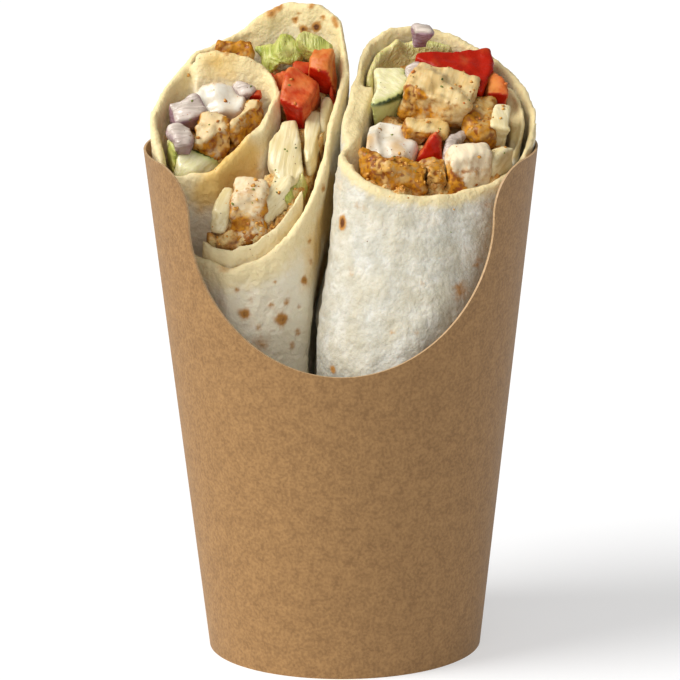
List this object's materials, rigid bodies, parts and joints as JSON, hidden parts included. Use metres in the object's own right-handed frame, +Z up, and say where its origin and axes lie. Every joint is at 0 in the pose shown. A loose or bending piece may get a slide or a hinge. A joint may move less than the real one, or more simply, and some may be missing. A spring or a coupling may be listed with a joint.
{
  "type": "chicken wrap halves in a kraft scoop cup",
  "caption": "Rolled chicken and salad wrap, cut in two on the slant, its halves standing side by side in a kraft paperboard cup with a low scooped front.",
  "frame": {"origin": "on the surface the cup stands on, under the middle of the whole object's box", "axes": "+Z up along the cup's axis; -Y towards the scooped front of the cup; +X to the right seen from the front"},
  "size_m": [0.0901, 0.0848, 0.1477],
  "materials": {
    "kraft_board": "matte",
    "flatbread": "matte",
    "filling": "satin",
    "chicken": "satin",
    "tomato": "gloss",
    "cucumber": "satin",
    "red_onion": "satin",
    "cabbage": "satin",
    "lettuce": "satin",
    "garlic_sauce": "satin"
  },
  "bodies": {
    "root": {"cabbage_left_1": "cabbage", "cabbage_left_2": "cabbage", "cabbage_left_3": "cabbage", "cabbage_left_4": "cabbage", "cabbage_left_5": "cabbage", "cabbage_right_1": "cabbage", "cabbage_right_2": "cabbage", "chicken_left_1": "chicken", "chicken_left_2": "chicken", "chicken_left_3": "chicken", "chicken_left_4": "chicken", "chicken_left_5": "chicken", "chicken_right_1": "chicken", "chicken_right_2": "chicken", "chicken_right_3": "chicken", "chicken_right_4": "chicken", "chicken_right_5": "chicken", "chicken_right_6": "chicken", "cucumber_left": "cucumber", "cucumber_right": "cucumber", "cup_base": "kraft_board", "cup_wall": "kraft_board", "filling_left": "filling", "filling_left_pocket": "filling", "filling_right": "filling", "lettuce_left_1": "lettuce", "lettuce_left_2": "lettuce", "lettuce_left_3": "lettuce", "lettuce_left_4": "lettuce", "lettuce_right": "lettuce", "onion_left_1": "red_onion", "onion_left_2": "red_onion", "onion_left_3": "red_onion", "onion_right_1": "red_onion", "onion_right_2": "red_onion", "onion_right_3": "red_onion", "sauce_left": "garlic_sauce", "sauce_right": "garlic_sauce", "tomato_left_1": "tomato", "tomato_left_2": "tomato", "tomato_left_3": "tomato", "tomato_left_4": "tomato", "tomato_left_5": "tomato", "tomato_right_1": "tomato", "tomato_right_2": "tomato", "tomato_right_3": "tomato", "tortilla_fold_right": "flatbread", "tortilla_left": "flatbread", "tortilla_lip_left": "flatbread", "tortilla_right": "flatbread"}
  },
  "joints": []
}
